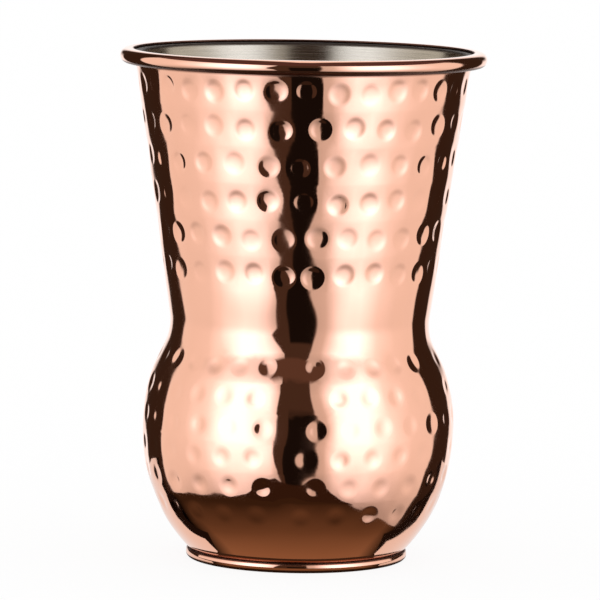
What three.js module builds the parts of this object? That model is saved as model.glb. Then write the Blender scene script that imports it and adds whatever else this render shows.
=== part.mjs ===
// A handleless drinking tumbler with a waist: a hammered copper wall over a smooth steel cup.
// Millimetres, +Z up, the origin at the middle of the foot's underside, the front towards -Y.
import * as THREE from "three";

// Overall form
const overallHeight = 120;
const rimDiameter = 86; // over the rolled bead
const waistDiameter = 61.2;
const waistHeight = 56;
const waistFillet = 12; // hollow radius of the waist, seen from the side
const bulgeDiameter = 74;
const bulgeHeight = 30.5;
const footDiameter = 52.2;
const footHeight = 2.1;

// Sheet metal
const shellSheet = 0.7;
const linerSheet = 0.6;
const baseSheet = 0.6;
const rimBeadSheet = 0.5;
const footSheet = 0.5;

// Clearances
const seamGap = 0.15; // between sheets that are folded into one seam
const wallGap = 0.4; // between the shell and the liner inside it
const linerFloorGap = 1.6; // between the liner and the base below it
const rimBeadRoom = 0.65; // hollow left in the bead beside the folded edges

// Folds and corners
const shellFold = 0.4; // inner radius of the shell's fold under the bead
const linerLip = 1; // inner radius of the liner's fold over the shell
const linerCorner = 6; // inside radius between the liner's wall and floor
const foldReach = 0.3; // how far the folded edges pass the middle of the bead
const rimBeadLip = 1.2; // how far the bead's upper lip reaches inwards over the folded edges
const footLip = 1.6; // height of the foot's inner lip
const baseDish = 0.8; // rise of the base's middle panel
const basePanelDiameter = 38;
const baseDishRun = 2; // width of the slope round that panel

// Hammer marks
const dentDiameter = 5.2;
const dentDepth = 0.35;
const flareRowLand = 3.2; // metal between two rows on the flared part
const bulgeRowLand = 1.6; // metal between two rows on the bulge
const dentWander = 0.45; // how far a mark may lie off its place in the pattern
const firstRowDrop = 7.6; // from the top of the rim to the first row
const plainAboveWaist = 14;
const plainBelowWaist = 7.3;
const lowestRowHeight = 14.3;
const flareMarkPitches = [7.3, 8.4, 8.1, 7.8, 7.5, 7.25]; // from mark to mark, row by row from the top
const bulgeMarkPitches = [6.9, 8, 8.2, 8.2, 8.5, 7.9];
const flareRowTurns = [1.1, 5.8, -0.2, 0.4, 4.7, 4.8]; // degrees from the front to a row's first mark
const bulgeRowTurns = [6.3, 2.6, 5.2, 2.4, 6.2, 2.2];
const bulgeFrontGap = 18.5; // degrees from the last mark of a row on the bulge to its first
const wanderRound = { perMark: 7.1, perRow: 2.3, start: 0 }; // radians that the wander moves on by
const wanderUp = { perMark: 4.7, perRow: 1.9, start: 1 };

// Facets
const ringSides = 48;
const dentSides = 8;

const turn = 2 * Math.PI;
const rimRadius = rimDiameter / 2;
const footRadius = footDiameter / 2;
const dentRadius = dentDiameter / 2;

// The rim's seam: the shell's fold lies under the liner's fold, and the bead is rolled over both.
const rimStack = shellSheet + seamGap + linerSheet;
const beadHollow = (rimStack + 2 * seamGap + rimBeadRoom) / 2;
const beadRadius = beadHollow + rimBeadSheet;
const beadCentre = new THREE.Vector2(rimRadius - beadRadius, overallHeight - beadRadius);
const shellFoldUnder = beadCentre.y + beadHollow - seamGap - rimStack;
const linerFoldUnder = shellFoldUnder + shellSheet + seamGap;
const foldTip = beadCentre.x + foldReach;

// The foot's seam: the shell's edge and the base's edge stand side by side in a channel.
const seamFloor = footSheet + seamGap;
const shellEdgeRadius = footRadius - footSheet - seamGap;
const baseEdgeRadius = shellEdgeRadius - shellSheet - seamGap;
const footInnerRadius = baseEdgeRadius - baseSheet - seamGap - footSheet;
const shellEdgeTop = footHeight + seamGap;
const baseUnder = footLip + seamGap;

// The shell's outer face is a straight flare, a hollow waist and two arcs of the bulge, all tangent.
const flareTop = new THREE.Vector2(beadCentre.x - beadRadius - seamGap, shellFoldUnder - shellFold);
const waistCentre = new THREE.Vector2(waistDiameter / 2 + waistFillet, waistHeight);
const waistReach = flareTop.distanceTo(waistCentre);
const flareLean =
  Math.asin(waistFillet / waistReach) -
  Math.atan2(waistCentre.x - flareTop.x, flareTop.y - waistCentre.y);
const flareFoot = waistHeight + waistFillet * Math.sin(flareLean);

const bulgeRadius = bulgeDiameter / 2;
const waistRise = waistHeight - bulgeHeight;
const waistOverhang = waistCentre.x - bulgeRadius;
const shoulderArc =
  (waistOverhang ** 2 + waistRise ** 2 - waistFillet ** 2) / (2 * (bulgeRadius - waistDiameter / 2));
const shoulderTop = bulgeHeight + (waistRise * shoulderArc) / (shoulderArc + waistFillet);
const bellyDrop = bulgeHeight - shellEdgeTop;
const bellyNarrowing = bulgeRadius - shellEdgeRadius;
const bellyArc = (bellyNarrowing ** 2 + bellyDrop ** 2) / (2 * bellyNarrowing);

// Radius of the shell's outer face at a height, and how steeply that radius grows with height.
function wallAt(height) {
  if (height >= flareFoot) {
    const slope = Math.tan(flareLean);
    return { radius: flareTop.x - (flareTop.y - height) * slope, slope };
  }
  if (height >= shoulderTop) {
    const rise = height - waistHeight;
    const run = Math.sqrt(waistFillet ** 2 - rise ** 2);
    return { radius: waistCentre.x - run, slope: rise / run };
  }
  const rise = height - bulgeHeight;
  const arc = rise > 0 ? shoulderArc : bellyArc;
  const run = Math.sqrt(arc ** 2 - rise ** 2);
  return { radius: bulgeRadius - arc + run, slope: -rise / run };
}

// The point that lies a depth under the shell's outer face, square to it: x is the radius, y the height.
function underWall(height, depth) {
  const { radius, slope } = wallAt(height);
  const steep = Math.hypot(1, slope);
  return new THREE.Vector2(radius - depth / steep, height + (depth * slope) / steep);
}

// Numbers from one end to the other, both included.
function spread(from, to, steps) {
  return Array.from({ length: steps + 1 }, (_, i) => from + ((to - from) * i) / steps);
}

// Points of a round stretch of a profile, angles in degrees from the outward direction.
function arc(centreX, centreY, radius, from, to, steps) {
  return spread(from, to, steps).map((degrees) => {
    const angle = THREE.MathUtils.degToRad(degrees);
    return new THREE.Vector2(centreX + radius * Math.cos(angle), centreY + radius * Math.sin(angle));
  });
}

const at = (radius, height) => new THREE.Vector2(radius, height);

// A turned piece from its half section, whose outline runs anticlockwise.
function revolve(profile) {
  const geometry = new THREE.LatheGeometry(profile, ringSides);
  return geometry.rotateX(Math.PI / 2);
}

// A closed skin made of loops of points, each loop running once round the axis.
class Skin {
  positions = [];
  faces = [];

  point(angle, radius, height) {
    this.positions.push(radius * Math.sin(angle), -radius * Math.cos(angle), height);
    return { index: this.positions.length / 3 - 1, angle };
  }

  ring(place) {
    return Array.from({ length: ringSides }, (_, i) => this.point((i * turn) / ringSides, place.x, place.y));
  }

  face(a, b, c) {
    this.faces.push(a.index, b.index, c.index);
  }

  // Fills the band between two loops, always stepping along the loop that is behind.
  zip(lower, upper) {
    const angleOf = (loop, i) => loop[i % loop.length].angle + turn * Math.floor(i / loop.length);
    let i = 0;
    let j = 0;
    while (i < lower.length || j < upper.length) {
      const a = lower[i % lower.length];
      const b = upper[j % upper.length];
      const stepLower =
        j === upper.length || (i < lower.length && angleOf(lower, i + 1) <= angleOf(upper, j + 1));
      if (stepLower) {
        i += 1;
        this.face(a, lower[i % lower.length], b);
      } else {
        j += 1;
        this.face(a, upper[j % upper.length], b);
      }
    }
  }

  // One row of hammer marks: each is a shallow pit in the wall, with the wall closed between neighbours.
  dentRow(places) {
    const dents = places.map((place) => {
      const { radius, slope } = wallAt(place.height);
      const rim = Array.from({ length: dentSides }, (_, k) => {
        const clock = ((k + 0.5) * turn) / dentSides;
        const height = place.height + (dentRadius * Math.sin(clock)) / Math.hypot(1, slope);
        const angle = place.angle + (dentRadius * Math.cos(clock)) / radius;
        return this.point(angle, wallAt(height).radius, height);
      });
      const pit = underWall(place.height, dentDepth);
      const floor = this.point(place.angle, pit.x, pit.y);
      rim.forEach((corner, k) => this.face(corner, rim[(k + 1) % dentSides], floor));
      const half = dentSides / 2;
      return { upper: rim.slice(0, half).reverse(), lower: rim.slice(half) };
    });
    dents.forEach((dent, i) => {
      const next = dents[(i + 1) % dents.length];
      const right = { low: dent.lower.at(-1), high: dent.upper.at(-1) };
      const left = { low: next.lower[0], high: next.upper[0] };
      this.face(right.low, left.low, left.high);
      this.face(right.low, left.high, right.high);
    });
    const loop = (side) => fromFront(dents.flatMap((dent) => dent[side]));
    return { lower: loop("lower"), upper: loop("upper") };
  }

  geometry() {
    const made = new THREE.BufferGeometry();
    made.setAttribute("position", new THREE.Float32BufferAttribute(this.positions, 3));
    made.setIndex(this.faces);
    made.computeVertexNormals();
    return made;
  }
}

// A loop's points in order of angle, counted from the front of the tumbler.
function fromFront(loop) {
  const counted = loop.map(({ index, angle }) => {
    return { index, angle: THREE.MathUtils.euclideanModulo(angle, turn) };
  });
  return counted.sort((a, b) => a.angle - b.angle);
}

// How far off its place a hammer mark lies, which changes from mark to mark and from row to row.
function wander(wave, mark, row) {
  return dentWander * Math.sin(wave.perMark * mark + wave.perRow * row + wave.start);
}

// The places of the hammer marks between two heights, row by row from the top.
function dentRows(lowest, highest, rowLand, pitches, turns, frontGap) {
  const steps = Math.floor((highest - lowest) / (dentDiameter + rowLand));
  return spread(highest, lowest, steps).map((height, row) => {
    const { radius } = wallAt(height);
    const marks = Math.floor((turn * radius) / pitches[row % pitches.length]);
    const start = THREE.MathUtils.degToRad(turns[row % turns.length]);
    const step = frontGap ? (turn - frontGap) / (marks - 1) : turn / marks;
    return Array.from({ length: marks }, (_, mark) => ({
      angle: start + mark * step + wander(wanderRound, mark, row) / radius,
      height: height + wander(wanderUp, mark, row),
    }));
  });
}

const flareRowLowest = waistHeight + plainAboveWaist;
const flareRowHighest = overallHeight - firstRowDrop;
const bulgeRowHighest = waistHeight - plainBelowWaist;

// The hammered wall. Its top edge is folded outwards into the bead and its bottom edge stands in the foot.
function outerShell() {
  const flareRows = dentRows(
    flareRowLowest, flareRowHighest, flareRowLand, flareMarkPitches, flareRowTurns
  ).reverse();
  const bulgeRows = dentRows(
    lowestRowHeight, bulgeRowHighest, bulgeRowLand, bulgeMarkPitches, bulgeRowTurns,
    THREE.MathUtils.degToRad(bulgeFrontGap)
  ).reverse();
  const clear = dentRadius + dentWander + seamGap; // from a row's middle line to the plain wall beside it
  const skin = new Skin();
  const loops = [];
  const addRing = (place) => loops.push({ lower: skin.ring(place) });
  const addPlain = (from, to, steps) => spread(from, to, steps).forEach((z) => addRing(underWall(z, 0)));
  const addRows = (rows) => rows.forEach((row) => loops.push(skin.dentRow(row)));

  const foldX = flareTop.x + shellFold;
  const foldEnd = 180 - THREE.MathUtils.radToDeg(flareLean);
  addRing(at(shellEdgeRadius, seamFloor));
  addPlain(shellEdgeTop, lowestRowHeight - clear, 3);
  addRows(bulgeRows);
  addPlain(bulgeRowHighest + clear, flareRowLowest - clear, 4);
  addRows(flareRows);
  arc(foldX, flareTop.y, shellFold, 180, 90, 2).forEach(addRing);
  addRing(at(foldTip, shellFoldUnder));
  addRing(at(foldTip, shellFoldUnder + shellSheet));
  arc(foldX, flareTop.y, shellFold + shellSheet, 90, foldEnd, 2).forEach(addRing);
  spread(flareFoot, shoulderTop, 3).forEach((z) => addRing(underWall(z, shellSheet)));
  spread(shoulderTop, shellEdgeTop, 5).slice(1).forEach((z) => addRing(underWall(z, shellSheet)));
  addRing(at(shellEdgeRadius - shellSheet, seamFloor));

  loops.forEach((loop, i) => skin.zip(loop.upper ?? loop.lower, loops[(i + 1) % loops.length].lower));
  return skin.geometry();
}

// Radius of a straight cone that lies a depth inside the flare, all the way down.
function flareInside(height, depth) {
  return flareTop.x - (flareTop.y - height) * Math.tan(flareLean) - depth / Math.cos(flareLean);
}

// The smooth cup. Its wall follows the flare and runs on straight, so that it passes the waist.
function innerLiner() {
  const under = baseUnder + baseDish + baseSheet + linerFloorGap;
  const floor = under + linerSheet;
  const outside = shellSheet + wallGap;
  const inside = outside + linerSheet;
  const lean = THREE.MathUtils.radToDeg(flareLean);
  const lipY = linerFoldUnder - linerLip;
  const lipX = flareInside(lipY, outside) + linerLip;
  const cornerInset = linerCorner * Math.tan(Math.PI / 4 - flareLean / 2);
  const cornerX = flareInside(floor, inside) - cornerInset;
  const cornerY = floor + linerCorner;
  return revolve([
    at(0, under),
    ...arc(cornerX, cornerY, linerCorner + linerSheet, -90, -lean, 3),
    ...arc(lipX, lipY, linerLip, 180 - lean, 90, 3),
    at(foldTip, linerFoldUnder),
    at(foldTip, linerFoldUnder + linerSheet),
    ...arc(lipX, lipY, linerLip + linerSheet, 90, 180 - lean, 4),
    ...arc(cornerX, cornerY, linerCorner, -lean, -90, 3),
    at(0, floor),
  ]);
}

// The rolled rim: a tube with a mouth on its inner side, whose upper lip lies flat over the folded edges.
function rimBead() {
  const { x, y } = beadCentre;
  const lipDrop = y - shellFoldUnder + seamGap;
  const lowerLip = THREE.MathUtils.radToDeg(Math.asin(lipDrop / beadHollow)) - 180;
  const section = [
    ...arc(x, y, beadRadius, lowerLip, 90, 8),
    ...arc(x - rimBeadLip, y + beadRadius - rimBeadSheet / 2, rimBeadSheet / 2, 90, 270, 2),
    ...arc(x, y, beadHollow, 90, lowerLip, 5),
  ];
  return revolve([...section, section[0]]);
}

// The foot: a channel with a round outer side, open at the top, that holds both edges and stands on a flat.
function footRing() {
  const round = footHeight / 2;
  const channelOuter = footRadius - footSheet;
  const channelInner = footInnerRadius + footSheet;
  const roundEnd = THREE.MathUtils.radToDeg(Math.acos((round - footSheet) / round));
  const section = [
    at(footInnerRadius, seamGap),
    at(footInnerRadius + seamGap, 0),
    ...arc(footRadius - round, round, round, -90, roundEnd, 6),
    at(channelOuter, footSheet),
    at(channelInner, footSheet),
    at(channelInner, footLip),
    at(footInnerRadius, footLip),
  ];
  return revolve([...section, section[0]]);
}

// The base: a pressed disc with a raised middle panel, its edge turned down into the foot.
function baseDisc() {
  const panel = basePanelDiameter / 2;
  const inner = baseEdgeRadius - baseSheet;
  return revolve([
    at(0, baseUnder + baseDish),
    at(panel, baseUnder + baseDish),
    at(panel + baseDishRun, baseUnder),
    at(inner, baseUnder),
    at(inner, seamFloor),
    at(baseEdgeRadius, seamFloor),
    at(baseEdgeRadius, baseUnder + baseSheet / 2),
    at(baseEdgeRadius - baseSheet / 2, baseUnder + baseSheet),
    at(panel + baseDishRun, baseUnder + baseSheet),
    at(panel, baseUnder + baseDish + baseSheet),
    at(0, baseUnder + baseDish + baseSheet),
  ]);
}

const copper = { color: 0xdf9a78, roughness: 0.08, metalness: 1 };
const steel = { color: 0xb9b4ac, roughness: 0.3, metalness: 1 };

const pieces = [
  { name: "outer_shell", geometry: outerShell(), finish: copper },
  { name: "inner_liner", geometry: innerLiner(), finish: steel },
  { name: "rim_bead", geometry: rimBead(), finish: copper },
  { name: "foot_ring", geometry: footRing(), finish: copper },
  { name: "base_disc", geometry: baseDisc(), finish: copper },
];

const tumbler = new THREE.Group();
for (const { name, geometry, finish } of pieces) {
  const mesh = new THREE.Mesh(geometry, new THREE.MeshStandardMaterial(finish));
  mesh.name = name;
  tumbler.add(mesh);
}

export default tumbler;
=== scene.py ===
import math

import bmesh
import bpy
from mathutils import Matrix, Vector, noise


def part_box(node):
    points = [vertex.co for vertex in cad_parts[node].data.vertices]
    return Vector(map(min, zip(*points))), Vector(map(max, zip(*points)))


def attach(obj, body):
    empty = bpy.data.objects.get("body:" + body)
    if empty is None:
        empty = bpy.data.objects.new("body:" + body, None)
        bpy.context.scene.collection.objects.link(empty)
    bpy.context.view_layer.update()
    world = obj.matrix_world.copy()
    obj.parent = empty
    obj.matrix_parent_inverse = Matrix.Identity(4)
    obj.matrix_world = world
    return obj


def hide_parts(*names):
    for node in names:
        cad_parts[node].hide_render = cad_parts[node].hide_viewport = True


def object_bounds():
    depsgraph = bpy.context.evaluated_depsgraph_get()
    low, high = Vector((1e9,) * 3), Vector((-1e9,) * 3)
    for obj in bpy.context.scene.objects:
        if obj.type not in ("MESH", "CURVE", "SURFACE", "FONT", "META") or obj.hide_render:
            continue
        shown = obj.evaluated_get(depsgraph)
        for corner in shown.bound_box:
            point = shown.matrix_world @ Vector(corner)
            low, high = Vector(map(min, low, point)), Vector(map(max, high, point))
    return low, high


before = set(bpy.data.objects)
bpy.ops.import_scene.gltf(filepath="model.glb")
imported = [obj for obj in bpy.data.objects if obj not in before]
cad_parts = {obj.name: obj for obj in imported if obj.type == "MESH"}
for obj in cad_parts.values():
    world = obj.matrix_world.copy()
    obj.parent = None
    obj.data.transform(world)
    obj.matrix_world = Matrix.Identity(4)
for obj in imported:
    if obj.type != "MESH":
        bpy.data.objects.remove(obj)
cadBox = [list(corner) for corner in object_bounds()]
print("frame loaded, CAD box", cadBox)

turn = 2 * math.pi
rimTop = cadBox[1][2]
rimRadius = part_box("rim_bead")[1].x
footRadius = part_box("foot_ring")[1].x


# small helpers

def startClean():
    if bpy.context.mode != "OBJECT":
        bpy.ops.object.mode_set(mode="OBJECT")
    bpy.ops.object.select_all(action="DESELECT")


def editMode(piece):
    startClean()
    piece.select_set(True)
    bpy.context.view_layer.objects.active = piece
    bpy.ops.object.mode_set(mode="EDIT")


def spread(first, last, steps):
    return [first + (last - first) * i / steps for i in range(steps + 1)]


def arcPoints(x, z, radius, first, last, steps):  # degrees, counted from the outward direction
    angles = [math.radians(a) for a in spread(first, last, steps)]
    return [(x + radius * math.cos(a), z + radius * math.sin(a)) for a in angles]


def traceSection(name, points):  # a chain of points in the XZ plane, drawn by extruding one vertex
    startClean()
    bpy.ops.mesh.primitive_plane_add(size=0.001)
    piece = bpy.context.object
    piece.name = piece.data.name = name
    bpy.ops.object.mode_set(mode="EDIT")
    bpy.ops.mesh.select_mode(type="VERT")
    bpy.ops.mesh.merge(type="CENTER")
    places = [Vector((x, 0, z)) for x, z in points]
    bpy.ops.transform.translate(value=places[0])
    for here, there in zip(places, places[1:]):
        bpy.ops.mesh.extrude_region_move(TRANSFORM_OT_translate={"value": there - here})
    return piece


def spinSection(name, points, steps):
    piece = traceSection(name, points)
    bpy.ops.mesh.select_all(action="SELECT")
    bpy.ops.mesh.spin(steps=steps, angle=turn, center=(0, 0, 0), axis=(0, 0, 1))
    bpy.ops.mesh.select_all(action="SELECT")
    bpy.ops.mesh.remove_doubles(threshold=1e-6)
    bpy.ops.mesh.normals_make_consistent(inside=False)
    bpy.ops.object.mode_set(mode="OBJECT")
    return piece


def smoothPiece(piece, degrees):
    startClean()
    piece.select_set(True)
    bpy.context.view_layer.objects.active = piece
    bpy.ops.object.shade_smooth_by_angle(angle=math.radians(degrees))


def finishPiece(piece, node, material, degrees=40):
    smoothPiece(piece, degrees)
    piece.data.materials.clear()
    piece.data.materials.append(material)
    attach(piece, "root")
    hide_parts(node)
    print(piece.name, "has", sum(len(f.vertices) - 2 for f in piece.data.polygons), "triangles")


# the folded seams at the rim and the foot, shared by the pieces that meet there
seam = dict(gap=0.00015, shellSheet=0.0007, linerSheet=0.0006, baseSheet=0.0006,
            beadSheet=0.0005, footSheet=0.0005, beadRoom=0.00065, beadLip=0.0012, foldReach=0.0003,
            shellFold=0.0004, wallGap=0.0004, footLip=0.0016)
stack = seam["shellSheet"] + seam["gap"] + seam["linerSheet"]
beadHollow = (stack + 2 * seam["gap"] + seam["beadRoom"]) / 2
beadRadius = beadHollow + seam["beadSheet"]
beadX, beadZ = rimRadius - beadRadius, rimTop - beadRadius
shellFoldUnder = beadZ + beadHollow - seam["gap"] - stack
linerFoldUnder = shellFoldUnder + seam["shellSheet"] + seam["gap"]
foldTip = beadX + seam["foldReach"]
seamFloor = seam["footSheet"] + seam["gap"]
footHeight = 0.0021
shellEdge = footRadius - seam["footSheet"] - seam["gap"]
baseEdge = shellEdge - seam["shellSheet"] - seam["gap"]
footInner = baseEdge - seam["baseSheet"] - seam["gap"] - seam["footSheet"]
shellEdgeTop = footHeight + seam["gap"]
baseUnder = seam["footLip"] + seam["gap"]


# the copper wall's outline

wall = dict(waistRadius=0.0306, waistHeight=0.056, waistFillet=0.012,
            bulgeRadius=0.037, bulgeHeight=0.0305)
flareX = beadX - beadRadius - seam["gap"]
flareZ = shellFoldUnder - seam["shellFold"]
waistX = wall["waistRadius"] + wall["waistFillet"]
flareLean = (math.asin(wall["waistFillet"] / math.hypot(waistX - flareX, flareZ - wall["waistHeight"]))
             - math.atan2(waistX - flareX, flareZ - wall["waistHeight"]))
flareFoot = wall["waistHeight"] + wall["waistFillet"] * math.sin(flareLean)
waistRise = wall["waistHeight"] - wall["bulgeHeight"]
shoulderArc = (((waistX - wall["bulgeRadius"]) ** 2 + waistRise ** 2 - wall["waistFillet"] ** 2)
               / (2 * (wall["bulgeRadius"] - wall["waistRadius"])))
shoulderTop = wall["bulgeHeight"] + waistRise * shoulderArc / (shoulderArc + wall["waistFillet"])
bellyIn = wall["bulgeRadius"] - shellEdge
bellyArc = (bellyIn ** 2 + (wall["bulgeHeight"] - shellEdgeTop) ** 2) / (2 * bellyIn)


def wallAt(z):  # radius of the outer face at a height, and how fast it grows with height
    if z >= flareFoot:
        slope = math.tan(flareLean)
        return flareX - (flareZ - z) * slope, slope
    if z >= shoulderTop:
        rise = z - wall["waistHeight"]
        run = math.sqrt(wall["waistFillet"] ** 2 - rise ** 2)
        return waistX - run, rise / run
    rise = z - wall["bulgeHeight"]
    arc = shoulderArc if rise > 0 else bellyArc
    run = math.sqrt(arc ** 2 - rise ** 2)
    return wall["bulgeRadius"] - arc + run, -rise / run


def offWall(z, depth):  # a point under the outer face, square to it
    radius, slope = wallAt(z)
    steep = math.hypot(1, slope)
    return radius - depth / steep, z + depth * slope / steep


# hammered wall

flareDents = dict(radius=0.0026, edge=(0.78, 1.18), pitAngle=9.8, pitCurve=2.0, skirtAngle=1.5,
                  rings=(0.24, 0.46, 0.64, 0.78, 0.9, 1.0, 1.1, 1.2),
                  rowStep=0.0084, lift=0.00045, highest=rimTop - 0.0076, lowest=wall["waistHeight"] + 0.014,
                  pitches=(0.0073, 0.0084, 0.0081, 0.0078, 0.0075, 0.00725),
                  turns=(1.1, 5.8, -0.2, 0.4, 6.3, 5.6), frontGaps=(0.0,) * 6)
bulgeDents = dict(radius=0.0026, edge=(0.5, 1.12), pitAngle=6.2, pitCurve=1.3, skirtAngle=1.0,
                  rings=(0.2, 0.38, 0.54, 0.68, 0.8, 0.92, 1.02, 1.11),
                  rowStep=0.0068, lift=0.0002, highest=wall["waistHeight"] - 0.0073, lowest=0.0143,
                  pitches=(0.0069, 0.008, 0.0082, 0.0082, 0.0085, 0.0079),
                  turns=(6.3, 15.0, 7.6, 2.4, 6.2, 2.2), frontGaps=(18.5, 30.9, 21.4, 18.5, 18.5, 18.5))
hammer = dict(wander=0.00045, uneven=0.3, smaller=0.025, rowGap=0.0005, around=24, sides=180, blankSteps=4,
              wanderRound=(7.1, 2.3, 0.0), wanderUp=(4.7, 1.9, 1.0), unevenWave=(5.3, 3.1, 0.0),
              smallerWave=(3.7, 1.3, 0.0), tileEdge=(0.7, 1.0), tileEnd=(0.75, 1.0),
              calmFoot=0.006, calmRim=0.003, skin=0.75,
              sink=0.00026, sinkReach=0.0028, sagScale=60.0, sag=0.00025, rippleScale=120.0, ripple=0.00015)


def dentSlope(dents, share, reach):  # steepness of a mark's surface at a share of its radius
    inner, outer = dents["edge"]
    pit, skirt = math.tan(math.radians(dents["pitAngle"])), math.tan(math.radians(dents["skirtAngle"]))
    if share <= inner:
        return pit * (share / inner) ** dents["pitCurve"]
    if share <= outer:
        return pit + (skirt - pit) * (share - inner) / (outer - inner)
    return skirt * max(0.0, (reach - share) / (reach - outer))


def dentSink(dents, share, reach):  # how deep that surface lies, added up from the mark's outer reach
    steps = 40
    run = (reach - share) / steps
    shares = [share + (i + 0.5) * run for i in range(steps)]
    return sum(dentSlope(dents, s, reach) for s in shares) * run * dents["radius"]


def dentRows(dents):
    count = math.floor((dents["highest"] - dents["lowest"]) / dents["rowStep"])
    rows = []
    for number, z in enumerate(spread(dents["highest"], dents["lowest"], count)):
        marks = math.floor(turn * wallAt(z)[0] / dents["pitches"][number])
        gap = math.radians(dents["frontGaps"][number]) or turn / marks
        rows.append(dict(number=number, dents=dents, z=z, marks=marks, gap=gap,
                         start=math.radians(dents["turns"][number]),
                         step=(turn - gap) / (marks - 1),
                         pitch=(dents["highest"] - dents["lowest"]) / count))
    return rows


def modelDent(row):  # one hammer mark on a flat tile: x runs round the wall, y up it, z out of it
    dents = row["dents"]
    radius, slope = wallAt(row["z"])
    width = radius * row["step"]
    height = (row["pitch"] - hammer["rowGap"]) * math.hypot(1, slope)
    reach = min(width, height) / 2 / dents["radius"]
    shares = dents["rings"]
    sinks = [dentSink(dents, share, reach) for share in shares]
    startClean()
    bpy.ops.mesh.primitive_circle_add(vertices=hammer["around"], radius=shares[0] * dents["radius"],
                                      fill_type="TRIFAN", location=(0, 0, -sinks[0]))
    tile = bpy.context.object
    bpy.ops.object.transform_apply(location=True)
    bpy.ops.object.mode_set(mode="EDIT")
    bpy.ops.mesh.select_all(action="SELECT")
    bpy.ops.mesh.region_to_loop()
    for i in range(1, len(shares)):
        grow = shares[i] / shares[i - 1]
        bpy.ops.mesh.extrude_edges_move(TRANSFORM_OT_translate={"value": (0, 0, sinks[i - 1] - sinks[i])})
        bpy.ops.transform.resize(value=(grow, grow, 1), center_override=(0, 0, 0))
    bpy.ops.mesh.extrude_edges_move(TRANSFORM_OT_translate={"value": (0, 0, sinks[-1])})
    sheet = bmesh.from_edit_mesh(tile.data)
    for vert in sheet.verts:  # the last ring is pulled out to the tile's four sides
        if vert.select:
            across = max(abs(vert.co.x), abs(vert.co.y))
            vert.co.x *= width / 2 / across
            vert.co.y *= height / 2 / across
        elif vert.co.xy.length < 1e-9:
            vert.co.z = -dentSink(dents, 0, reach)
    bmesh.update_edit_mesh(tile.data)
    bpy.ops.object.mode_set(mode="OBJECT")
    copies = tile.modifiers.new("copies", "ARRAY")
    copies.count = row["marks"]
    copies.use_relative_offset = False
    copies.use_constant_offset = True
    copies.constant_offset_displace = (width, 0, 0)
    copies.use_merge_vertices = True
    copies.merge_threshold = 1e-6
    bpy.ops.object.modifier_apply(modifier=copies.name)
    blank = radius * row["gap"] - width
    if blank > 1e-6:  # plain metal between the row's last mark and its first
        end = width * (row["marks"] - 0.5)
        editMode(tile)
        bpy.ops.mesh.select_mode(type="EDGE")
        bpy.ops.mesh.select_all(action="DESELECT")
        sheet = bmesh.from_edit_mesh(tile.data)
        for edge in sheet.edges:
            edge.select_set(all(abs(vert.co.x - end) < 1e-6 for vert in edge.verts))
        bmesh.update_edit_mesh(tile.data)
        onward = (blank / hammer["blankSteps"], 0, 0)
        for _ in range(hammer["blankSteps"]):
            bpy.ops.mesh.extrude_edges_move(TRANSFORM_OT_translate={"value": onward})
        bpy.ops.object.mode_set(mode="OBJECT")
    return tile, width, height


def easeIn(value, low, high):
    t = min(1.0, max(0.0, (value - low) / (high - low)))
    return t * t * (3 - 2 * t)


def wave(name, row, mark):  # from -1 to 1, and different for every mark
    perMark, perRow, start = hammer[name]
    return math.sin(perMark * mark + perRow * row["number"] + start)


def offPlace(row, mark):  # how far a mark lies off its place in the row, around and up
    mark = mark % row["marks"]
    return (hammer["wander"] * wave("wanderRound", row, mark),
            row["dents"]["lift"] * wave("wanderUp", row, mark))


def wrapRow(row):  # rolls a flat row of marks round the wall, each a little off its place
    dents = row["dents"]
    strip, width, height = modelDent(row)
    radius, slope = wallAt(row["z"])
    for vert in strip.data.vertices:
        x, y, sink = vert.co
        mark = min(row["marks"] - 1, max(0, math.floor(x / width + 0.5)))
        across = 2 * (x / width - mark)
        share = easeIn(abs(across), *hammer["tileEdge"]) / 2
        here, beside = offPlace(row, mark), offPlace(row, mark + (1 if across > 0 else -1))
        edge = easeIn(max(abs(across), abs(y) * 2 / height), *hammer["tileEdge"])
        shrink = hammer["smaller"] * (1 + wave("smallerWave", row, mark)) * (1 - edge)
        x -= across * width / 2 * shrink
        y -= y * shrink
        x += here[0] * (1 - share) + beside[0] * share
        end = easeIn(abs(y) * 2 / height, *hammer["tileEnd"])
        y += (here[1] * (1 - share) + beside[1] * share) * (1 - end)
        sink *= 1 + hammer["uneven"] * wave("unevenWave", row, mark)
        angle = row["start"] + x / radius
        around, z = offWall(row["z"] + y / math.hypot(1, slope), -sink)
        vert.co = (around * math.sin(angle), -around * math.cos(angle), z)
    row["low"] = row["z"] - height / 2 / math.hypot(1, slope)
    row["high"] = row["z"] + height / 2 / math.hypot(1, slope)
    return strip


def plainWall(low, high, steps):
    return [offWall(z, 0) for z in spread(low, high, steps)]


def shellBack(low, high):  # from under the lowest row, round the inner face, to above the highest row
    lean = math.degrees(flareLean)
    sheet = seam["shellSheet"]
    foldX = flareX + seam["shellFold"]
    inside = [offWall(z, sheet) for z in spread(shellEdgeTop, shoulderTop, 14)]
    inside += [offWall(z, sheet) for z in spread(shoulderTop, flareFoot, 6)[1:]]
    return (plainWall(low, shellEdgeTop, 8)
            + [(shellEdge, seamFloor), (shellEdge - sheet, seamFloor)]
            + inside
            + arcPoints(foldX, flareZ, seam["shellFold"] + sheet, 180 - lean, 90, 5)
            + [(foldTip, shellFoldUnder + sheet), (foldTip, shellFoldUnder)]
            + arcPoints(foldX, flareZ, seam["shellFold"], 90, 180, 4)
            + [offWall(high, 0)])


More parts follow.
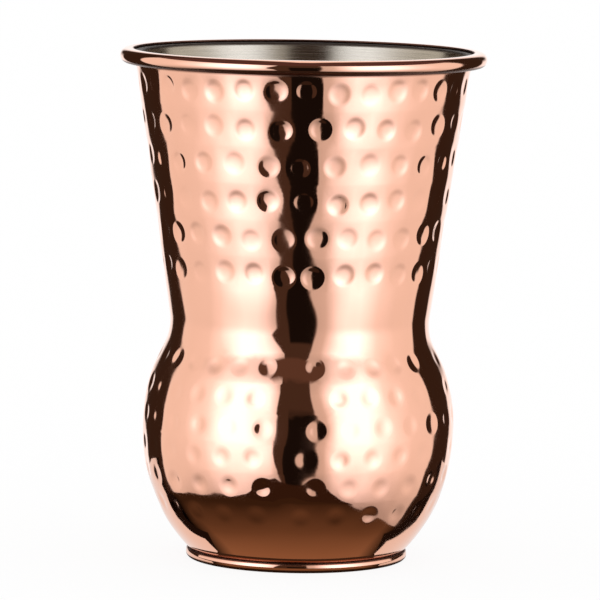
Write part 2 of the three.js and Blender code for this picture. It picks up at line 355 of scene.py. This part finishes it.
def joinLoops(piece, low, high):  # bridges the two open loops that lie between two heights
    editMode(piece)
    bpy.ops.mesh.select_mode(type="EDGE")
    bpy.ops.mesh.select_all(action="DESELECT")
    sheet = bmesh.from_edit_mesh(piece.data)
    slack = 1e-5
    for edge in sheet.edges:
        middle = (edge.verts[0].co.z + edge.verts[1].co.z) / 2
        if edge.is_boundary and low - slack < middle < high + slack:
            edge.select_set(True)
    bmesh.update_edit_mesh(piece.data)
    bpy.ops.mesh.bridge_edge_loops()
    bpy.ops.object.mode_set(mode="OBJECT")


def sinkAt(rows, angle, z):  # the sheet gives way softly round every mark
    depth = 0.0
    for row in rows:
        if abs(z - row["z"]) < 3 * hammer["sinkReach"]:
            radius = wallAt(row["z"])[0]
            ahead = (angle - row["start"]) % turn
            nearest = round(ahead / row["step"])
            for mark in (nearest - 1, nearest, nearest + 1):
                off = offPlace(row, mark)
                apart = ahead - mark % row["marks"] * row["step"]
                around = ((apart + math.pi) % turn - math.pi) * radius - off[0]
                away = around ** 2 + (z - row["z"] - off[1]) ** 2
                depth += hammer["sink"] * math.exp(-away / 2 / hammer["sinkReach"] ** 2)
    return depth


def waveWall(shell, rows):  # the hammered sheet is a little uneven between its marks too
    for vert in shell.data.vertices:
        around, z = vert.co.xy.length, vert.co.z
        overFoot = max(0.0, (z - shellEdgeTop) / hammer["calmFoot"])
        underRim = max(0.0, (flareZ - z) / hammer["calmRim"])
        ends = min(1.0, overFoot, underRim)
        if ends > 0 and around > wallAt(z)[0] - seam["shellSheet"] * hammer["skin"]:
            depth = sinkAt(rows, math.atan2(vert.co.x, -vert.co.y), z)
            sag = hammer["sag"] * noise.noise(vert.co * hammer["sagScale"])
            ripple = hammer["ripple"] * noise.noise(vert.co * hammer["rippleScale"])
            lift = ends * (sag + ripple - depth)
            vert.co.xy *= 1 + lift / around


def makeShell():
    flareRows, bulgeRows = dentRows(flareDents), dentRows(bulgeDents)
    strips = [wrapRow(row) for row in flareRows + bulgeRows]
    bands = [(row["low"], row["high"]) for row in bulgeRows[::-1]]
    waist = (bulgeRows[0]["high"] + hammer["rowGap"], flareRows[-1]["low"] - hammer["rowGap"])
    bands += [waist] + [(row["low"], row["high"]) for row in flareRows[::-1]]
    strips.append(spinSection("waistBand", plainWall(*waist, 26), hammer["sides"]))
    back = shellBack(bands[0][0] - hammer["rowGap"], bands[-1][1] + hammer["rowGap"])
    shell = spinSection("outerShell", back, hammer["sides"])
    startClean()
    for piece in strips + [shell]:
        piece.select_set(True)
    bpy.context.view_layer.objects.active = shell
    bpy.ops.object.join()
    editMode(shell)
    bpy.ops.mesh.select_all(action="SELECT")
    bpy.ops.mesh.remove_doubles(threshold=2e-6)
    bpy.ops.object.mode_set(mode="OBJECT")
    edges = [bands[0][0] - hammer["rowGap"]] + [z for band in bands for z in band]
    edges.append(bands[-1][1] + hammer["rowGap"])
    for low, high in zip(edges[0::2], edges[1::2]):
        joinLoops(shell, low, high)
    waveWall(shell, flareRows + bulgeRows)
    editMode(shell)
    bpy.ops.mesh.select_all(action="SELECT")
    bpy.ops.mesh.normals_make_consistent(inside=False)
    bpy.ops.object.mode_set(mode="OBJECT")
    return shell


shell = makeShell()
print("hammered wall modelled")


# rim bead

def makeRimBead():  # a rolled tube, open on its inner side, its upper lip flat over the folds
    lowerLip = math.degrees(math.asin((beadZ - shellFoldUnder + seam["gap"]) / beadHollow)) - 180
    half = seam["beadSheet"] / 2
    section = arcPoints(beadX, beadZ, beadRadius, lowerLip, 90, 32)
    section += arcPoints(beadX - seam["beadLip"], beadZ + beadRadius - half, half, 90, 270, 8)
    section += arcPoints(beadX, beadZ, beadHollow, 90, lowerLip, 14)
    return spinSection("rimBead", section + section[:1], 240)


rimBead = makeRimBead()
print("rim bead modelled")


# steel cup

cup = dict(corner=0.006, floorGap=0.0016, dish=0.0008, lip=0.0002, brushSteps=240)


def insideFlare(z, depth):
    return flareX - (flareZ - z) * math.tan(flareLean) - depth / math.cos(flareLean)


def makeLiner():
    sheet = seam["linerSheet"]
    under = baseUnder + cup["dish"] + seam["baseSheet"] + cup["floorGap"]
    floor = under + sheet
    outside = seam["shellSheet"] + seam["wallGap"]
    lean = math.degrees(flareLean)
    lipZ = linerFoldUnder - cup["lip"]
    lipX = insideFlare(lipZ, outside) + cup["lip"]
    cornerX = insideFlare(floor, outside + sheet) - cup["corner"] * math.tan(math.pi / 4 - flareLean / 2)
    cornerZ = floor + cup["corner"]
    section = [(0, under)]
    section += arcPoints(cornerX, cornerZ, cup["corner"] + sheet, -90, -lean, 10)
    section += arcPoints(lipX, lipZ, cup["lip"], 180 - lean, 90, 6)
    section += [(foldTip, linerFoldUnder), (foldTip, linerFoldUnder + sheet)]
    section += arcPoints(lipX, lipZ, cup["lip"] + sheet, 90, 180 - lean, 10)
    section += arcPoints(cornerX, cornerZ, cup["corner"], -lean, -90, 12)
    return spinSection("innerLiner", section + [(0, floor)], cup["brushSteps"])


liner = makeLiner()
print("steel cup modelled")


# foot and base

base = dict(panel=0.019, dishRun=0.002, steps=180, footArc=0.0022, footSweep=22.0, footEdge=0.00018)


def makeFoot():
    half = footHeight / 2
    lean = math.radians(base["footSweep"])
    belly = footHeight - base["footArc"] * math.sin(lean) - base["footEdge"] * (1 - math.sin(lean))
    edgeX = footRadius - base["footArc"] + (base["footArc"] - base["footEdge"]) * math.cos(lean)
    channelOut, channelIn = footRadius - seam["footSheet"], footInner + seam["footSheet"]
    section = arcPoints(footInner + seam["gap"], seam["gap"], seam["gap"], 180, 270, 3)
    section += [(footRadius - half + half * x, belly + belly * z) for x, z in arcPoints(0, 0, 1, -90, 0, 12)]
    section += arcPoints(footRadius - base["footArc"], belly, base["footArc"], 0, base["footSweep"], 8)[1:]
    section += arcPoints(edgeX, footHeight - base["footEdge"], base["footEdge"], base["footSweep"], 90, 6)[1:]
    section += [(channelOut, footHeight), (channelOut, seam["footSheet"]), (channelIn, seam["footSheet"])]
    section += [(channelIn, seam["footLip"]), (footInner, seam["footLip"])]
    return spinSection("footRing", section + section[:1], base["steps"])


def makeBase():
    panel, run, sheet = base["panel"], base["dishRun"], seam["baseSheet"]
    high, inner = baseUnder + cup["dish"], baseEdge - seam["baseSheet"]
    section = [(0, high), (panel - run / 2, high)]
    section += [(panel + run * t, high - cup["dish"] * (3 * t * t - 2 * t ** 3)) for t in spread(0, 1, 8)]
    section += [(inner, baseUnder), (inner, seamFloor), (baseEdge, seamFloor)]
    section += arcPoints(baseEdge - sheet / 2, baseUnder + sheet / 2, sheet / 2, 0, 90, 4)
    section += [(panel + run * t, high + sheet - cup["dish"] * (3 * t * t - 2 * t ** 3))
                for t in spread(1, 0, 8)]
    section += [(panel - run / 2, high + sheet), (0, high + sheet)]
    return spinSection("baseDisc", section, base["steps"])


foot = makeFoot()
baseDisc = makeBase()
print("foot and base modelled")


# materials

def newMaterial(name):
    material = bpy.data.materials.new(name)
    material.use_nodes = True
    tree = material.node_tree
    tree.nodes.clear()
    output = tree.nodes.new("ShaderNodeOutputMaterial")
    return material, tree, output


def addNode(tree, kind, **settings):
    node = tree.nodes.new(kind)
    for name, value in settings.items():
        setattr(node, name, value)
    return node


def math2(tree, operation, first, second=None):
    node = addNode(tree, "ShaderNodeMath", operation=operation)
    for socket, value in zip(node.inputs, (first, second)):
        if isinstance(value, (int, float)):
            socket.default_value = value
        elif value is not None:
            tree.links.new(value, socket)
    return node.outputs[0]


def fromAxis(tree, x, y):
    squares = [math2(tree, "MULTIPLY", part, part) for part in (x, y)]
    return math2(tree, "SQRT", math2(tree, "ADD", *squares))


def mapRange(tree, value, fromLow, fromHigh, toLow=0.0, toHigh=1.0):
    node = addNode(tree, "ShaderNodeMapRange")
    levels = {"From Min": fromLow, "From Max": fromHigh, "To Min": toLow, "To Max": toHigh}
    for name, level in levels.items():
        node.inputs[name].default_value = level
    tree.links.new(value, node.inputs["Value"])
    return node.outputs[0]


def degreesMask(tree, value, edge):  # 0 before the first of two angles, 1 after the second
    return mapRange(tree, value, *[math.radians(angle) for angle in edge])


def rampOf(tree, value, stops, low, high):  # grey or coloured stops over a range of degrees
    ramp = addNode(tree, "ShaderNodeValToRGB")
    tree.links.new(degreesMask(tree, value, (low, high)), ramp.inputs["Fac"])
    marks = ramp.color_ramp.elements
    while len(marks) < len(stops):
        marks.new(1)
    for mark, (degrees, level) in zip(marks, stops):
        mark.position = (degrees - low) / (high - low)
        mark.color = (*level, 1) if isinstance(level, tuple) else (level, level, level, 1)
    return ramp.outputs["Color"]


def mixColours(tree, kind, share, first, second):
    node = addNode(tree, "ShaderNodeMix", data_type="RGBA", blend_type=kind)
    for name, value in (("Factor_Float", share), ("A_Color", first), ("B_Color", second)):
        socket = next(i for i in node.inputs if i.identifier == name)
        if isinstance(value, (int, float, tuple)):
            socket.default_value = value
        else:
            tree.links.new(value, socket)
    return next(o for o in node.outputs if o.identifier == "Result_Color")


def noiseAt(tree, vector, scale, detail):
    node = addNode(tree, "ShaderNodeTexNoise")
    node.inputs["Scale"].default_value = scale
    node.inputs["Detail"].default_value = detail
    tree.links.new(vector, node.inputs["Vector"])
    return node.outputs["Fac"]


def startGroup(name, outputs):
    tree = bpy.data.node_groups.new(name, "ShaderNodeTree")
    for title in outputs:
        tree.interface.new_socket(title, in_out="OUTPUT", socket_type="NodeSocketFloat")
    place = addNode(tree, "ShaderNodeTexCoord")
    return tree, place.outputs["Object"], addNode(tree, "NodeGroupOutput")


polish = dict(cloud=55.0, cloudRange=(0.35, 0.7), smear=9.0, smearRange=(0.3, 0.7),
              hair=420.0, stretch=(1.0, 1.0, 0.08), slant=(0.5, 0.35, 0.0))


def polishGroup():  # what a buffing wheel leaves: cloudy haze, broad smears and fine hairlines
    tree, place, out = startGroup("polishMarks", ("Haze", "Smear", "Hairline"))
    squeeze = addNode(tree, "ShaderNodeMapping")
    squeeze.inputs["Scale"].default_value = polish["stretch"]
    squeeze.inputs["Rotation"].default_value = polish["slant"]
    tree.links.new(place, squeeze.inputs["Vector"])
    haze = mapRange(tree, noiseAt(tree, place, polish["cloud"], 3), *polish["cloudRange"])
    smear = mapRange(tree, noiseAt(tree, place, polish["smear"], 2), *polish["smearRange"])
    tree.links.new(haze, out.inputs["Haze"])
    tree.links.new(smear, out.inputs["Smear"])
    tree.links.new(noiseAt(tree, squeeze.outputs[0], polish["hair"], 2), out.inputs["Hairline"])
    return tree


# heights and reaches of the painted shade in the seams, and the radii of the painted shade on the bead's
# inner lip
creviceShade = dict(rim=0.1168, rimReach=0.0008, foot=0.0023, footReach=0.00045, sole=0.0, soleReach=0.0011,
               core=0.35, lip=(0.04025, 0.03995), lipHeight=0.1188)


def creviceShadeGroup():  # painted shade: darker, duller metal in the seams under the rim bead and over the foot, at the sole and on the bead's inner lip
    tree, place, out = startGroup("seamShade", ("Seam",))
    parts = addNode(tree, "ShaderNodeSeparateXYZ")
    tree.links.new(place, parts.inputs[0])
    x, y, z = parts.outputs
    # painted shade along the rim bead's inner lip, above the lip height
    lip = mapRange(tree, fromAxis(tree, x, y), *creviceShade["lip"])
    paintedSeamShade = math2(tree, "MULTIPLY", lip, math2(tree, "GREATER_THAN", z, creviceShade["lipHeight"]))
    for part in ("rim", "foot", "sole"):
        away = math2(tree, "ABSOLUTE", math2(tree, "SUBTRACT", z, creviceShade[part]))
        reach = creviceShade[part + "Reach"]
        mask = mapRange(tree, away, reach * creviceShade["core"], reach, 1.0, 0.0)
        paintedSeamShade = math2(tree, "MAXIMUM", paintedSeamShade, mask)
    tree.links.new(paintedSeamShade, out.inputs["Seam"])
    return tree


polishMarks, seamShade = polishGroup(), creviceShadeGroup()


def useGroup(tree, group):
    return addNode(tree, "ShaderNodeGroup", node_tree=group).outputs


# the darkest colour here is painted shade for the seams
copper = dict(colour=(0.93, 0.505, 0.355, 1), deep=(0.9, 0.46, 0.31, 1), paintedSeamShade=(0.16, 0.07, 0.045, 1),
              rough=(0.035, 0.1), seamRough=0.3, hairline=0.012, hairDepth=0.0002)


def copperMaterial(name, smear):
    material, tree, output = newMaterial(name)
    shader = addNode(tree, "ShaderNodeBsdfPrincipled")
    shader.inputs["Metallic"].default_value = 1
    marks, seamShadeMask = useGroup(tree, polishMarks), useGroup(tree, seamShade)["Seam"]
    share = math2(tree, "MULTIPLY", marks["Smear"], smear)
    tone = mixColours(tree, "MIX", share, copper["colour"], copper["deep"])
    # painted shade: the seam mask turns the copper dark brown, and rougher, in the seams
    tree.links.new(mixColours(tree, "MIX", seamShadeMask, tone, copper["paintedSeamShade"]), shader.inputs["Base Color"])
    haze = mapRange(tree, marks["Haze"], 0, 1, *copper["rough"])
    dulled = math2(tree, "ADD", haze, math2(tree, "MULTIPLY", seamShadeMask, copper["seamRough"]))
    tree.links.new(dulled, shader.inputs["Roughness"])
    bump = addNode(tree, "ShaderNodeBump")
    bump.inputs["Strength"].default_value = copper["hairline"]
    bump.inputs["Distance"].default_value = copper["hairDepth"]
    tree.links.new(marks["Hairline"], bump.inputs["Height"])
    tree.links.new(bump.outputs[0], shader.inputs["Normal"])
    tree.links.new(shader.outputs[0], output.inputs[0])
    return material


# the lip's dark colour below is painted shade on the cup's rolled lip under the rim bead
steel = dict(colour=(0.52, 0.44, 0.34, 1), dark=(0.35, 0.3, 0.23, 1), rough=(0.2, 0.3),
             brush=0.5, brushTurn=0.25, grain=(0.3, 0.7), around=3.0, fine=2600.0, axisGuard=0.0005,
             edge=(0.1186, 0.1191), lipShadeColour=(0.1, 0.075, 0.06, 1), edgeRough=0.35,
             depth=0.12, bumpDepth=0.0001)


def steelMaterial(name):
    material, tree, output = newMaterial(name)
    shader = addNode(tree, "ShaderNodeBsdfPrincipled")
    shader.inputs["Metallic"].default_value = 1
    shader.inputs["Anisotropic"].default_value = steel["brush"]
    shader.inputs["Anisotropic Rotation"].default_value = steel["brushTurn"]
    along = addNode(tree, "ShaderNodeTangent", direction_type="RADIAL", axis="Z")
    tree.links.new(along.outputs[0], shader.inputs["Tangent"])
    place = addNode(tree, "ShaderNodeTexCoord")
    parts = addNode(tree, "ShaderNodeSeparateXYZ")
    tree.links.new(place.outputs["Object"], parts.inputs[0])
    x, y, z = parts.outputs
    radius = math2(tree, "MAXIMUM", fromAxis(tree, x, y), steel["axisGuard"])
    rings = addNode(tree, "ShaderNodeCombineXYZ")  # streaks run round the axis, on the wall and on the floor
    for socket, value in zip(rings.inputs, (x, y)):
        tree.links.new(math2(tree, "MULTIPLY", math2(tree, "DIVIDE", value, radius), steel["around"]), socket)
    tree.links.new(math2(tree, "MULTIPLY", math2(tree, "ADD", z, radius), steel["fine"]), rings.inputs["Z"])
    streak = noiseAt(tree, rings.outputs[0], 1.0, 3)
    share = mapRange(tree, streak, *steel["grain"])
    metal = mixColours(tree, "MIX", share, steel["dark"], steel["colour"])
    # painted shade: the steel turns near black, and rougher, over its rolled lip
    edge = mapRange(tree, z, *steel["edge"])
    tree.links.new(mixColours(tree, "MIX", edge, metal, steel["lipShadeColour"]), shader.inputs["Base Color"])
    rough = mapRange(tree, streak, *steel["grain"], *steel["rough"])
    rough = math2(tree, "ADD", rough, math2(tree, "MULTIPLY", edge, steel["edgeRough"]))
    tree.links.new(rough, shader.inputs["Roughness"])
    bump = addNode(tree, "ShaderNodeBump")
    bump.inputs["Strength"].default_value = steel["depth"]
    bump.inputs["Distance"].default_value = steel["bumpDepth"]
    tree.links.new(streak, bump.inputs["Height"])
    tree.links.new(bump.outputs[0], shader.inputs["Normal"])
    tree.links.new(shader.outputs[0], output.inputs[0])
    return material


hammeredCopper = copperMaterial("hammeredCopper", 0.8)
polishedCopper = copperMaterial("polishedCopper", 0.5)
brushedSteel = steelMaterial("brushedSteel")
finishPiece(shell, "outer_shell", hammeredCopper)
finishPiece(rimBead, "rim_bead", polishedCopper)
finishPiece(liner, "inner_liner", brushedSteel)
finishPiece(foot, "foot_ring", polishedCopper)
finishPiece(baseDisc, "base_disc", polishedCopper)


# stage: pale floor, white surroundings and a dome of studio light that only the metal sees

def emission(name):
    material, tree, output = newMaterial(name)
    glow = addNode(tree, "ShaderNodeEmission")
    tree.links.new(glow.outputs[0], output.inputs[0])
    return material, tree, glow


def metalOnly(card):
    card.visible_camera = card.visible_diffuse = card.visible_shadow = False
    card.visible_transmission = card.visible_volume_scatter = False


# degrees round from the camera's side, and degrees up from level; a level of 1 is the brightest
black, umber, shade = (0.003, 0.0022, 0.0018), (0.021, 0.0135, 0.0095), (0.012, 0.007, 0.0045)
dome = dict(radius=4.0, brightest=3.0, middle=0.06, aside=2.5, hotTurn=-1.5, hotTint=(0.86, 1.02, 1.32, 1),
            slotTurn=3.5, slotEdge=(15.7, 14.3), slotWide=5.5,
            slotRise=((-90, 0.0), (-22, 0.1), (-14, 0.6), (-7, 0.9), (6, 0.7), (28, 0.0), (90, 0.0)),
            blackTurn=-0.7, blackEdge=(10.6, 9.2), blackTop=(15, 9),
            round=((0, 0.24), (16.5, 0.24), (24, 0.27), (40, 0.31),
                   (90, 0.32), (119, 0.335), (121, shade), (152, shade), (155, 0.36), (180, 0.36)),
            rise=((-90, 0.45), (-42, 0.5), (-30, 0.78), (-22, 0.95), (-8, 1.0), (28, 1.0), (40, 0.8),
                  (66, 0.6), (90, 0.6)),
            hotRound=((0, 0.0), (17, 0.0), (23, 0.14), (31, 0.38), (39, 0.5), (52, 0.5), (62, 0.34),
                      (74, 0.14), (90, 0.03), (110, 0.0)),
            hotRise=((-90, 0.0), (-42, 0.08), (-30, 0.34), (-22, 0.5), (-12, 0.8), (-4, 1.0), (28, 1.0),
                     (38, 0.35), (60, 0.1), (70, 0.0)),
            low=((0, (0.011, 0.007, 0.005)), (36, (0.012, 0.0075, 0.005)), (60, (0.02, 0.0125, 0.009)),
                 (100, (0.02, 0.0125, 0.009)),
                 (112, (0.009, 0.006, 0.0045)), (128, (0.009, 0.006, 0.0045)), (131, (0.33, 0.32, 0.31)),
                 (180, (0.33, 0.33, 0.33))),
            lowEdge=(-46, -44.5), lowRise=6.0, nadir=(-66, -78), under=(0.05, 0.03, 0.02, 1),
            lowRound=((0, 1.0), (15, 0.9), (20, 0.5), (28, 0.2), (40, 0.0), (180, 0.0)),
            topEdge=(67, 71), topTurn=7.0, topRise=30.0,
            topRound=((0, 1.0), (23.5, 1.0), (30, 0.72), (38, 0.45), (50, 0.1), (60, 0.0), (180, 0.0)),
            backTurn=(148, 153), backEdge=(-2, 6), ceiling=(0.036, 0.022, 0.016, 1),
            overBack=((0, shade), (163, shade), (170, 0.36), (180, 0.36)))


def makeDome():
    startClean()
    bpy.ops.mesh.primitive_ico_sphere_add(subdivisions=5, radius=dome["radius"],
                                          location=(0, 0, dome["middle"]))
    sphere = bpy.context.object
    sphere.name = "lightDome"
    material, tree, glow = emission("domeLight")
    link = tree.links.new
    place = addNode(tree, "ShaderNodeTexCoord")
    parts = addNode(tree, "ShaderNodeSeparateXYZ")
    link(place.outputs["Object"], parts.inputs[0])
    x, y, z = parts.outputs
    side = math2(tree, "ARCTAN2", x, math2(tree, "MULTIPLY", y, -1))
    names = ("aside", "hotTurn", "slotTurn", "blackTurn", "topTurn")
    turned = {name: math2(tree, "ADD", side, math.radians(dome[name])) for name in names}
    bearing, warm, slot, core, over = [math2(tree, "ABSOLUTE", turned[name]) for name in names]
    climb = math2(tree, "ARCSINE", math2(tree, "DIVIDE", z, dome["radius"]))
    upper = mixColours(tree, "MULTIPLY", 1.0, rampOf(tree, bearing, dome["round"], 0, 180),
                       rampOf(tree, climb, dome["rise"], -90, 90))
    hot = mixColours(tree, "MULTIPLY", 1.0, rampOf(tree, warm, dome["hotRound"], 0, 180),
                     rampOf(tree, climb, dome["hotRise"], -90, 90))
    hot = mixColours(tree, "MULTIPLY", 1.0, hot, dome["hotTint"])
    upper = mixColours(tree, "ADD", 1.0, upper, hot)
    wider = math2(tree, "MULTIPLY", rampOf(tree, climb, dome["slotRise"], -90, 90),
                  math.radians(dome["slotWide"] / 2))
    middle = math2(tree, "ADD", turned["slotTurn"], wider)
    opening = math2(tree, "SUBTRACT", math2(tree, "ABSOLUTE", middle), wider)
    upper = mixColours(tree, "MIX", degreesMask(tree, opening, dome["slotEdge"]), upper, (*umber, 1))
    blackest = math2(tree, "MULTIPLY", degreesMask(tree, core, dome["blackEdge"]),
                     degreesMask(tree, climb, dome["blackTop"]))
    upper = mixColours(tree, "MIX", blackest, upper, (*black, 1))
    lower = rampOf(tree, bearing, dome["low"], 0, 180)
    lower = mixColours(tree, "MIX", degreesMask(tree, climb, dome["nadir"]), lower, dome["under"])
    behind = math2(tree, "MULTIPLY", degreesMask(tree, bearing, dome["backTurn"]),
                   degreesMask(tree, climb, dome["backEdge"]))
    droop = math2(tree, "MULTIPLY", rampOf(tree, over, dome["topRound"], 0, 180),
                  math.radians(dome["topRise"]))
    overhead = degreesMask(tree, math2(tree, "ADD", climb, droop), dome["topEdge"])
    upper = mixColours(tree, "MIX", overhead, upper, dome["ceiling"])
    upper = mixColours(tree, "MIX", behind, upper, rampOf(tree, bearing, dome["overBack"], 0, 180))
    arch = math2(tree, "MULTIPLY", rampOf(tree, slot, dome["lowRound"], 0, 180),
                 math.radians(dome["lowRise"]))
    above = degreesMask(tree, math2(tree, "SUBTRACT", climb, arch), dome["lowEdge"])
    link(mixColours(tree, "MIX", above, lower, upper), glow.inputs["Color"])
    glow.inputs["Strength"].default_value = dome["brightest"]
    sphere.data.materials.append(material)
    metalOnly(sphere)


# the table as the metal sees it, on cards only the metal sees: painted shade and the copper's own painted
# reflection in front and farther out on the left, a dark stand and band, and white behind a line back from
# each side of the foot
table = dict(height=0.00005, layers=dict(stand=2, band=2, white=3, contact=4), radius=0.0586,
             nearMiddle=(-0.0085, -0.0163), nearRadius=0.0431,
             inner=(0.29, 0.17, 0.092, 1), middle=(0.145, 0.082, 0.042, 1), outer=(0.039, 0.0215, 0.0105, 1),
             # the contact ring and its colour are a painted contact shadow round the foot
             contact=(0.024, 0.02655), contactShadowColour=(0.045, 0.026, 0.016, 1),
             shares=(0.0, 0.3, 0.75), sides=(50.0, 105.0), fade=14.0,
             white=0.9, back=((0, 0), (0.0208, -0.0173), (0.0268, -0.0158), (0.104, 0.0696),
                              (0.06, 0.098), (0, 0.115)),
             band=((0.0208, -0.0173), (0.0287, -0.0193), (0.114, 0.062), (0.104, 0.0696), (0.0268, -0.0158)),
             bandColour=(0.012, 0.007, 0.005, 1),
             stand=((0, -0.0555), (-0.0315, -0.051), (-0.0285, -0.06), (-0.021, -0.0725), (0.011, -0.0735),
                    (0.0195, -0.0625), (0.027, -0.0425), (0.0135, -0.0515)),
             standColour=(0.032, 0.0165, 0.009, 1))


# painted shade and painted reflection: brown near the foot, fading to near black farther out, only in front
def tableShadeMaterial():
    material, tree, glow = emission("paintedTableShade")
    place = addNode(tree, "ShaderNodeTexCoord")
    parts = addNode(tree, "ShaderNodeSeparateXYZ")
    tree.links.new(place.outputs["Object"], parts.inputs[0])
    length = addNode(tree, "ShaderNodeVectorMath", operation="LENGTH")
    tree.links.new(place.outputs["Object"], length.inputs[0])
    share = mapRange(tree, length.outputs["Value"], footRadius, table["radius"])
    ramp = addNode(tree, "ShaderNodeValToRGB")
    ramp.color_ramp.elements.new(0.5)
    for mark, at, colour in zip(ramp.color_ramp.elements, table["shares"],
                                (table["inner"], table["middle"], table["outer"])):
        mark.position = at
        mark.color = colour
    tree.links.new(share, ramp.inputs["Fac"])
    bearing = math2(tree, "ABSOLUTE", math2(tree, "ARCTAN2", parts.outputs["X"],
                                            math2(tree, "MULTIPLY", parts.outputs["Y"], -1)))
    limit = mapRange(tree, share, 0, 1, *[math.radians(a) for a in table["sides"]])
    inside = mapRange(tree, math2(tree, "SUBTRACT", limit, bearing), 0, math.radians(table["fade"]))
    tree.links.new(mixColours(tree, "MULTIPLY", 1.0, ramp.outputs["Color"], inside), glow.inputs["Color"])
    return material


def makeTableFront(material):
    for middle, radius, sides in (((0, 0), table["radius"], (-1,)),
                                  (table["nearMiddle"], table["nearRadius"], (-1, 1))):
        startClean()
        bpy.ops.mesh.primitive_circle_add(vertices=180, radius=radius, fill_type="TRIFAN",
                                          location=(*middle, table["height"]))
        card = bpy.context.object
        card.name = "paintedTableFront"
        bpy.ops.object.transform_apply(location=True)
        bpy.ops.object.mode_set(mode="EDIT")
        bpy.ops.mesh.select_mode(type="FACE")
        bpy.ops.mesh.select_all(action="DESELECT")
        sheet = bmesh.from_edit_mesh(card.data)
        for face in sheet.faces:
            face.select_set(math.copysign(1, face.calc_center_median().x) not in sides)
        bmesh.update_edit_mesh(card.data)
        bpy.ops.mesh.delete(type="FACE")
        bpy.ops.object.mode_set(mode="OBJECT")
        card.data.materials.append(material)
        metalOnly(card)


def makeTableSides(name, corners, layer, colour, sides=(-1, 1)):
    material, _, glow = emission(name)
    glow.inputs["Color"].default_value = colour
    for side in sides:
        startClean()
        bpy.ops.mesh.primitive_circle_add(vertices=len(corners), radius=0.05, fill_type="NGON")
        card = bpy.context.object
        card.name = name
        for vert, (x, y) in zip(card.data.vertices, corners):
            vert.co = (side * x, y, table["layers"][layer] * table["height"])
        card.data.materials.append(material)
        metalOnly(card)


def makeContactShadow():  # painted contact shadow: a dark ring where the foot meets the table
    startClean()
    inner, outer = table["contact"]
    bpy.ops.mesh.primitive_circle_add(vertices=120, radius=outer)
    card = bpy.context.object
    card.name = "paintedContactShadow"
    bpy.ops.object.mode_set(mode="EDIT")
    bpy.ops.mesh.select_all(action="SELECT")
    bpy.ops.mesh.extrude_edges_move()
    bpy.ops.transform.resize(value=(inner / outer, inner / outer, 1), center_override=(0, 0, 0))
    bpy.ops.object.mode_set(mode="OBJECT")
    for vert in card.data.vertices:
        vert.co.z = table["layers"]["contact"] * table["height"]
    material, _, glow = emission("contactShadowPaint")
    glow.inputs["Color"].default_value = table["contactShadowColour"]
    card.data.materials.append(material)
    metalOnly(card)


# a dark canopy over the front, which the rim bead's upper side sees
canopy = dict(height=0.206, inner=0.028, outer=0.145, sweep=115.0, colour=(0.095, 0.05, 0.046, 1))


def makeCanopy():
    middle = (0, 0, canopy["height"])
    startClean()
    bpy.ops.mesh.primitive_circle_add(vertices=96, radius=canopy["outer"], location=middle)
    card = bpy.context.object
    card.name = "canopyCard"
    bpy.ops.object.mode_set(mode="EDIT")
    bpy.ops.mesh.select_all(action="SELECT")
    shrink = canopy["inner"] / canopy["outer"]
    bpy.ops.mesh.extrude_edges_move()
    bpy.ops.transform.resize(value=(shrink, shrink, 1), center_override=middle)
    bpy.ops.mesh.select_mode(type="FACE")
    bpy.ops.mesh.select_all(action="DESELECT")
    sheet = bmesh.from_edit_mesh(card.data)
    for face in sheet.faces:
        place = face.calc_center_median()
        face.select_set(abs(math.atan2(place.x, -place.y)) > math.radians(canopy["sweep"]))
    bmesh.update_edit_mesh(card.data)
    bpy.ops.mesh.delete(type="FACE")
    bpy.ops.object.mode_set(mode="OBJECT")
    material, _, glow = emission("canopyDark")
    glow.inputs["Color"].default_value = canopy["colour"]
    card.data.materials.append(material)
    metalOnly(card)


makeDome()
makeTableFront(tableShadeMaterial())
makeTableSides("tableStand", table["stand"], "stand", table["standColour"], (1,))
makeTableSides("tableBand", table["band"], "band", table["bandColour"])
makeTableSides("tableWhite", table["back"], "white", (table["white"],) * 3 + (1,))
makeContactShadow()
makeCanopy()

floor = dict(size=14.0, colour=(0.985, 0.985, 0.985, 1), white=0.9)


def makeFloor():
    startClean()
    bpy.ops.mesh.primitive_plane_add(size=floor["size"])
    sheet = bpy.context.object
    sheet.name = "paleFloor"
    sheet.visible_glossy = False
    material, tree, output = newMaterial("palePaint")
    shader = addNode(tree, "ShaderNodeBsdfDiffuse")
    shader.inputs["Color"].default_value = floor["colour"]
    white = addNode(tree, "ShaderNodeEmission")
    rays = addNode(tree, "ShaderNodeLightPath")
    seen = math2(tree, "MAXIMUM", rays.outputs["Is Camera Ray"],
                 math2(tree, "MAXIMUM", rays.outputs["Is Glossy Ray"], rays.outputs["Is Transmission Ray"]))
    blend = addNode(tree, "ShaderNodeMixShader")
    tree.links.new(math2(tree, "MULTIPLY", seen, floor["white"]), blend.inputs[0])
    tree.links.new(shader.outputs[0], blend.inputs[1])
    tree.links.new(white.outputs[0], blend.inputs[2])
    tree.links.new(blend.outputs[0], output.inputs[0])
    sheet.data.materials.append(material)


makeFloor()
world = bpy.data.worlds.new("whiteStudio")
bpy.context.scene.world = world
world.use_nodes = True
world.node_tree.nodes["Background"].inputs["Color"].default_value = (1, 1, 1, 1)
world.node_tree.nodes["Background"].inputs["Strength"].default_value = 1
print("stage set")


# camera

lens = dict(distance=1.2, height=0.1934, down=6.296, roll=0.896, focal=307.6, sensor=36.0, reach=30.0)


def makeCamera():
    startClean()
    bpy.ops.object.camera_add(location=(0, -lens["distance"], lens["height"]))
    camera = bpy.context.object
    camera.rotation_euler = (math.radians(90 - lens["down"]), 0, 0)
    camera.rotation_euler.rotate_axis("Z", math.radians(lens["roll"]))
    camera.data.lens = lens["focal"]
    camera.data.sensor_width = lens["sensor"]
    camera.data.clip_end = lens["reach"]
    bpy.context.scene.camera = camera


makeCamera()
bpy.context.scene.view_settings.view_transform = "Standard"
